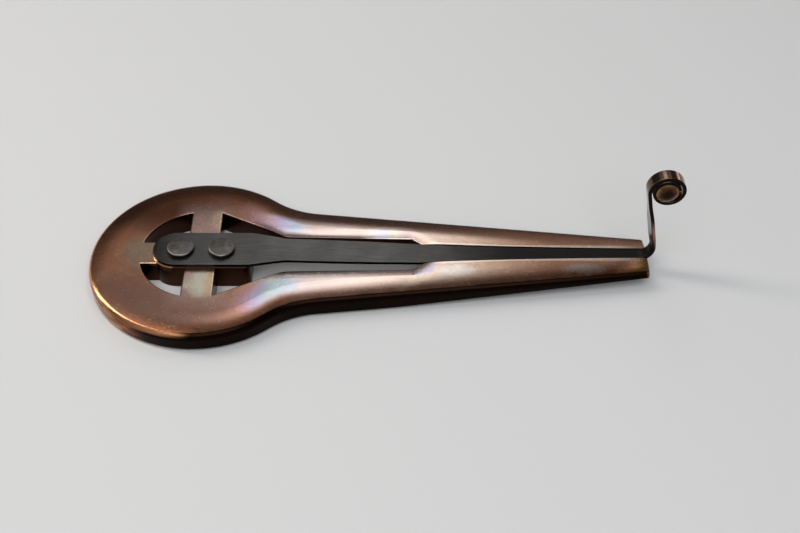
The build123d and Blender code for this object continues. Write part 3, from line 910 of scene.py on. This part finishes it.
# ------------------------------------------------------------------ curves, plan and side
def arc_through(a, b, c, count):
    """Points along the circle through three points, from a to c."""
    (ax, ay), (bx, by), (cx, cy) = a, b, c
    d = 2 * (ax * (by - cy) + bx * (cy - ay) + cx * (ay - by))
    sa, sb, sc = ax * ax + ay * ay, bx * bx + by * by, cx * cx + cy * cy
    ox = (sa * (by - cy) + sb * (cy - ay) + sc * (ay - by)) / d
    oy = (sa * (cx - bx) + sb * (ax - cx) + sc * (bx - ax)) / d
    radius = math.hypot(ax - ox, ay - oy)
    start = math.atan2(ay - oy, ax - ox)
    end = math.atan2(cy - oy, cx - ox)
    turn = (end - start + math.pi) % (2 * math.pi) - math.pi
    angles = [start + turn * i / count for i in range(count + 1)]
    return [(ox + radius * math.cos(t), oy + radius * math.sin(t)) for t in angles]


def rounded(points, radii, step):
    """A polyline with rounded corners, as close points."""
    out = [Vector(points[0])]
    for i in range(1, len(points) - 1):
        before, corner, after = Vector(points[i - 1]), Vector(points[i]), Vector(points[i + 1])
        into, leave = (corner - before).normalized(), (after - corner).normalized()
        turn = math.atan2(into.x * leave.y - into.y * leave.x, into.dot(leave))
        radius = radii[i - 1]
        start = corner - into * (radius * math.tan(abs(turn) / 2))
        normal = Vector((-into.y, into.x)) * (1 if turn > 0 else -1)
        centre = start + normal * radius
        count = max(3, int(abs(turn) * radius / step))
        for k in range(count + 1):
            spin = Matrix.Rotation(turn * k / count, 2)
            out.append(centre + spin @ (start - centre))
    out.append(Vector(points[-1]))
    return out


def spread(points, step):
    """The same curve with no run longer than step."""
    out = [points[0]]
    for a, b in zip(points, points[1:]):
        count = max(1, math.ceil((b - a).length / step))
        out.extend(a.lerp(b, k / count) for k in range(1, count + 1))
    return out


def strip_line():
    """Middle of the strip from the side, as (x, z): plate, dip, blade, stem and roll."""
    upward = Vector((-math.sin(STEM_LEAN), math.cos(STEM_LEAN)))
    across = Vector((math.cos(STEM_LEAN), math.sin(STEM_LEAN)))
    mid_radius = CURL_OUTER_RADIUS - TONGUE_THICKNESS / 2
    stem_top = Vector((CURL_X, CURL_Z)) - across * mid_radius
    stem_foot = stem_top - upward * ((stem_top.y - SLOT_MID_Z) / upward.y)
    plate = [(TONGUE_BACK_X, PLATE_MID_Z), (DIP_X, PLATE_MID_Z)]
    corners = [*plate, (THROAT[0], SLOT_MID_Z), stem_foot, stem_top]
    radii = (TONGUE_BEND_RADIUS, TONGUE_BEND_RADIUS, STEM_BEND_RADIUS)
    line = spread(rounded(corners, radii, BEND_STEP), RUN_STEP)
    begin, side = stem_top, 1
    for turn in range(CURL_HALF_TURNS):
        radius = (mid_radius - turn * (TONGUE_THICKNESS + CURL_GAP) / 2) * side
        centre = begin + across * radius
        for k in range(1, CURL_STEPS + 1):
            angle = math.pi * k / CURL_STEPS
            rise = upward * (abs(radius) * side * math.sin(angle))
            line.append(centre - across * (radius * math.cos(angle)) + rise)
        begin, side = centre + across * radius, -side
    return line


def half_widths():
    """Half width of the strip in plan, as (x, half width) in order of x."""
    back_x = TONGUE_BACK_X + TONGUE_HALF_WIDTH
    outline = []
    for k in range(BACK_STEPS + 1):
        angle = math.pi / 2 * k / BACK_STEPS
        reach, half = TONGUE_HALF_WIDTH * math.cos(angle), TONGUE_HALF_WIDTH * math.sin(angle)
        outline.append((back_x - reach, half))
    sides = rounded(
        [(back_x, TONGUE_HALF_WIDTH), (SHOULDER_X, TONGUE_HALF_WIDTH), WAIST, REACH],
        (SHOULDER_RADIUS, SHOULDER_RADIUS),
        PLAN_STEP,
    )
    waist = [p for p in sides if p.x < WAIST[0] + PAST_WAIST]
    outline += [tuple(p) for p in waist[1:-1]]
    to_throat = arc_through(WAIST, REACH, THROAT, THROAT_STEPS)
    outline += [p for p in to_throat if p[0] > outline[-1][0] + ARC_GAP]
    outline += arc_through(THROAT, MIDDLE, BLADE_END, BLADE_STEPS)[1:]
    return outline


def lookup(table, x):
    """Value at x in a table of (x, value) in order of x."""
    for (x0, v0), (x1, v1) in zip(table, table[1:]):
        if x <= x1:
            return v0 + (v1 - v0) * (x - x0) / (x1 - x0)
    return table[-1][1]


def outline_of_strip(half):
    """Cross-section of the strip, as (across, up) round a rectangle with rounded corners."""
    corner = TONGUE_CORNER
    outline = []
    for sx, sz, start in ((1, 1, 0), (-1, 1, 90), (-1, -1, 180), (1, -1, 270)):
        cx, cz = sx * (half - corner), sz * (TONGUE_THICKNESS / 2 - corner)
        for k in range(CORNER_POINTS):
            angle = math.radians(start + 90 * k / (CORNER_POINTS - 1))
            outline.append((cx + corner * math.cos(angle), cz + corner * math.sin(angle)))
    return outline


def stem_twist(z):
    """Turn of the strip about its own line at a height, in radians."""
    share = min(1.0, max(0.0, (z - TWIST_Z[0]) / (TWIST_Z[1] - TWIST_Z[0])))
    rise, fall = min(1.0, share / TWIST_SHARE), min(1.0, (1 - share) / TWIST_SHARE)
    return STEM_TWIST * rise * rise * (3 - 2 * rise) * fall * fall * (3 - 2 * fall)


# ------------------------------------------------------------------ the tongue and the rivets
# on the strip's sides, within this height of its middle, the UV runs over their height too
SIDE_UP, SIDE_SHARE = 0.3, 0.9

# dents round a rivet's head: depth in millimetres, lobes and their turn; shallow waves on top
DENT, DENT_LOBES, DENT_TURN = 0.035, 2, 0.6
FINE_DENT, FINE_DENT_LOBES = 0.018, 5
HEAD_SHRINK = 0.05
HEAD_ROUND_RADIUS = 1.6  # inside it the head stays round
WAVE, WAVE_X, WAVE_Y = 0.045, 1.7, 1.3  # depth, and radians to a millimetre
# the waves start at a height above the plate, and rise by this share for each millimetre
WAVE_FOOT_Z, WAVE_RISE = 0.4, 3
NEXT_DENT, NEXT_WAVE = 1.9, 2.2  # radians that set the second rivet apart


def strip_stations():
    """Places of the strip's cross-sections from the side, close round the back of the plate."""
    back = []
    for k in range(1, BACK_STATIONS + 1):
        reach = TONGUE_HALF_WIDTH * (1 - math.cos(math.pi / 2 * k / BACK_STATIONS))
        back.append(Vector((TONGUE_BACK_X + reach, PLATE_MID_Z)))
    return back + [p for p in strip_line() if p.x > back[-1].x + STATION_GAP]


def strip_sections():
    """Cross-sections of the strip, as its run in mm, its outline and its places in metres."""
    stations = strip_stations()
    widths = half_widths()
    sections = []
    run = stations[0].x
    in_blade = True
    for i, p in enumerate(stations):
        before, after = stations[max(i - 1, 0)], stations[min(i + 1, len(stations) - 1)]
        tangent = (after - before).normalized()
        normal = Vector((-tangent.y, tangent.x))
        run += (p - before).length
        in_blade = in_blade and p.x < BLADE_END[0]
        outline = outline_of_strip(lookup(widths, p.x) if in_blade else STEM_HALF_WIDTH)
        twist = stem_twist(p.y)
        cos, sin = math.cos(twist), math.sin(twist)
        places = []
        for across, up in outline:
            q = p + normal * (up * cos + across * sin)
            places.append((q.x * MM, (across * cos - up * sin) * MM, q.y * MM))
        sections.append((run, outline, places))
    return sections


def tongue_mesh():
    """The whole tongue as one strip, with UVs that run along the strip and across it."""
    runs, outlines, places = zip(*strip_sections())
    mesh = bmesh.new()
    uv_layer = mesh.loops.layers.uv.new("strip")
    rings = [[mesh.verts.new(place) for place in ring] for ring in places]
    count = len(rings[0])
    for i in range(len(rings) - 1):
        for k in range(count):
            n = (k + 1) % count
            face = mesh.faces.new((rings[i][k], rings[i + 1][k], rings[i + 1][n], rings[i][n]))
            face.smooth = True
            corners = ((i, k), (i + 1, k), (i + 1, n), (i, n))
            for loop, (station, point) in zip(face.loops, corners):
                across, up = outlines[station][point]
                down_side = SIDE_SHARE * up if abs(up) < SIDE_UP else 0
                loop[uv_layer].uv = (runs[station], across + down_side)
    for ring, run in ((rings[0], runs[0]), (rings[-1], runs[-1])):
        for loop in mesh.faces.new(ring).loops:
            loop[uv_layer].uv = (run, loop.vert.co.y / MM)
    bmesh.ops.recalc_face_normals(mesh, faces=mesh.faces)
    data = bpy.data.meshes.new("tongue")
    mesh.to_mesh(data)
    mesh.free()
    return data


def drill(obj, cutters):
    """Take the cutters out of the object's mesh, and remove them."""
    for cutter in cutters:
        modifier = obj.modifiers.new("hole", "BOOLEAN")
        modifier.operation = "DIFFERENCE"
        modifier.solver = "EXACT"
        modifier.object = cutter
    graph = bpy.context.evaluated_depsgraph_get()
    data = bpy.data.meshes.new_from_object(obj.evaluated_get(graph))
    obj.modifiers.clear()
    obj.data = data
    for cutter in cutters:
        bpy.data.objects.remove(cutter)


def turned(name, profile, segments, place):
    """A closed turned body from (radius, height) points that start and end on the axis."""
    mesh = bmesh.new()
    rings = []
    for radius, height in profile:
        if radius == 0:
            rings.append([mesh.verts.new(place(0, 0, height))])
            continue
        ring = []
        for k in range(segments):
            angle = 2 * math.pi * k / segments
            a, b = radius * math.cos(angle), radius * math.sin(angle)
            ring.append(mesh.verts.new(place(a, b, height)))
        rings.append(ring)
    for low, high in zip(rings, rings[1:]):
        for k in range(segments):
            n = (k + 1) % segments
            corners = (
                low[k % len(low)],
                low[n % len(low)],
                high[n % len(high)],
                high[k % len(high)],
            )
            mesh.faces.new(list(dict.fromkeys(corners))).smooth = True
    bmesh.ops.recalc_face_normals(mesh, faces=mesh.faces)
    data = bpy.data.meshes.new(name)
    mesh.to_mesh(data)
    mesh.free()
    return link(name, data)


def keep_flats_flat(obj):
    modifier = obj.modifiers.new("flats", "WEIGHTED_NORMAL")
    modifier.mode = "FACE_AREA"
    modifier.weight = 100
    modifier.keep_sharp = True


def make_tongue(material):
    tongue = link("tongue", tongue_mesh())
    radius = RIVET_SHANK_RADIUS + RIVET_CLEARANCE
    low, high = PLATE_Z - CUTTER_BELOW, PLATE_Z + CUTTER_ABOVE
    profile = [(0, low), (radius, low), (radius, high), (0, high)]
    cutters = []
    for name, x in RIVET_XS.items():

        def place(a, b, height, x=x):
            return ((x + a) * MM, (RIVET_ROW_Y + b) * MM, height * MM)

        cutters.append(turned("cutter_" + name, profile, CUTTER_SEGMENTS, place))
    drill(tongue, cutters)
    tongue.data.materials.clear()
    tongue.data.materials.append(material)
    keep_flats_flat(tongue)
    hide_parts("tongue_base", "tongue_blade")
    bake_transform(tongue)


def rivet_profile():
    """Tail, shank and low crowned head, as (radius, height)."""
    head_top = PLATE_TOP_Z + RIVET_HEAD_HEIGHT
    foot_in, foot_up = RIVET_HEAD_FOOT
    profile = [(RIVET_TAIL_RADIUS * k / RIVET_TAIL_STEPS, 0) for k in range(RIVET_TAIL_STEPS + 1)]
    profile += [(RIVET_SHANK_RADIUS, RIVET_TAIL_DEPTH), (RIVET_SHANK_RADIUS, PLATE_TOP_Z)]
    profile += [(RIVET_HEAD_RADIUS - foot_in, PLATE_TOP_Z)]
    profile += [(RIVET_HEAD_RADIUS, PLATE_TOP_Z + foot_up)]
    rounding = RIVET_EDGE_ROUNDING
    inner = RIVET_HEAD_RADIUS - rounding
    edge_z = head_top - RIVET_CROWN - rounding
    for k in range(RIVET_EDGE_STEPS + 1):
        angle = math.pi / 2 * k / RIVET_EDGE_STEPS
        profile.append((inner + rounding * math.cos(angle), edge_z + rounding * math.sin(angle)))
    for k in range(RIVET_CROWN_STEPS - 1, -1, -1):
        radius = inner * k / RIVET_CROWN_STEPS
        profile.append((radius, head_top - RIVET_CROWN * (radius / inner) ** 2))
    return profile


def uneven(a, b, height, number):
    """How much wider a rivet's head is at a place, as a factor, and how much lower."""
    spin = math.atan2(b, a) + NEXT_DENT * number
    dent = DENT * math.sin(DENT_LOBES * spin + DENT_TURN)
    dent += FINE_DENT * math.sin(FINE_DENT_LOBES * spin)
    on_head = height >= PLATE_TOP_Z and math.hypot(a, b) > HEAD_ROUND_RADIUS
    wider = 1 + (dent - HEAD_SHRINK) / RIVET_HEAD_RADIUS if on_head else 1
    wave = WAVE * math.sin(WAVE_X * a + NEXT_WAVE * number) * math.cos(WAVE_Y * b - number)
    above_foot = max(0.0, height - PLATE_TOP_Z - WAVE_FOOT_Z)
    return wider, abs(wave) * min(1.0, above_foot * WAVE_RISE)


def make_rivets(material):
    """The two rivets, with heads that aren't quite round or even on top."""
    for number, (node, x) in enumerate(RIVET_XS.items()):

        def place(a, b, height, x=x, number=number):
            wider, lower = uneven(a, b, height, number)
            return ((x + a * wider) * MM, (RIVET_ROW_Y + b * wider) * MM, (height - lower) * MM)

        name = node.replace("rivet_", "") + "_rivet"
        head = turned(name, rivet_profile(), RIVET_SEGMENTS, place)
        head.data.materials.append(material)
        keep_flats_flat(head)
        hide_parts(node)
        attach(head, "frame_body")


def dress_nodes(finishes):
    """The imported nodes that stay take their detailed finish."""
    for node, material in finishes.items():
        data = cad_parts[node].data
        data.materials.clear()
        data.materials.append(material)


camera()
studio()
floor()
make_tongue(spring_steel())
make_rivets(rivet_steel())
dress_nodes({"frame": FrameFinish().make(), "curl_pin": pin_copper()})
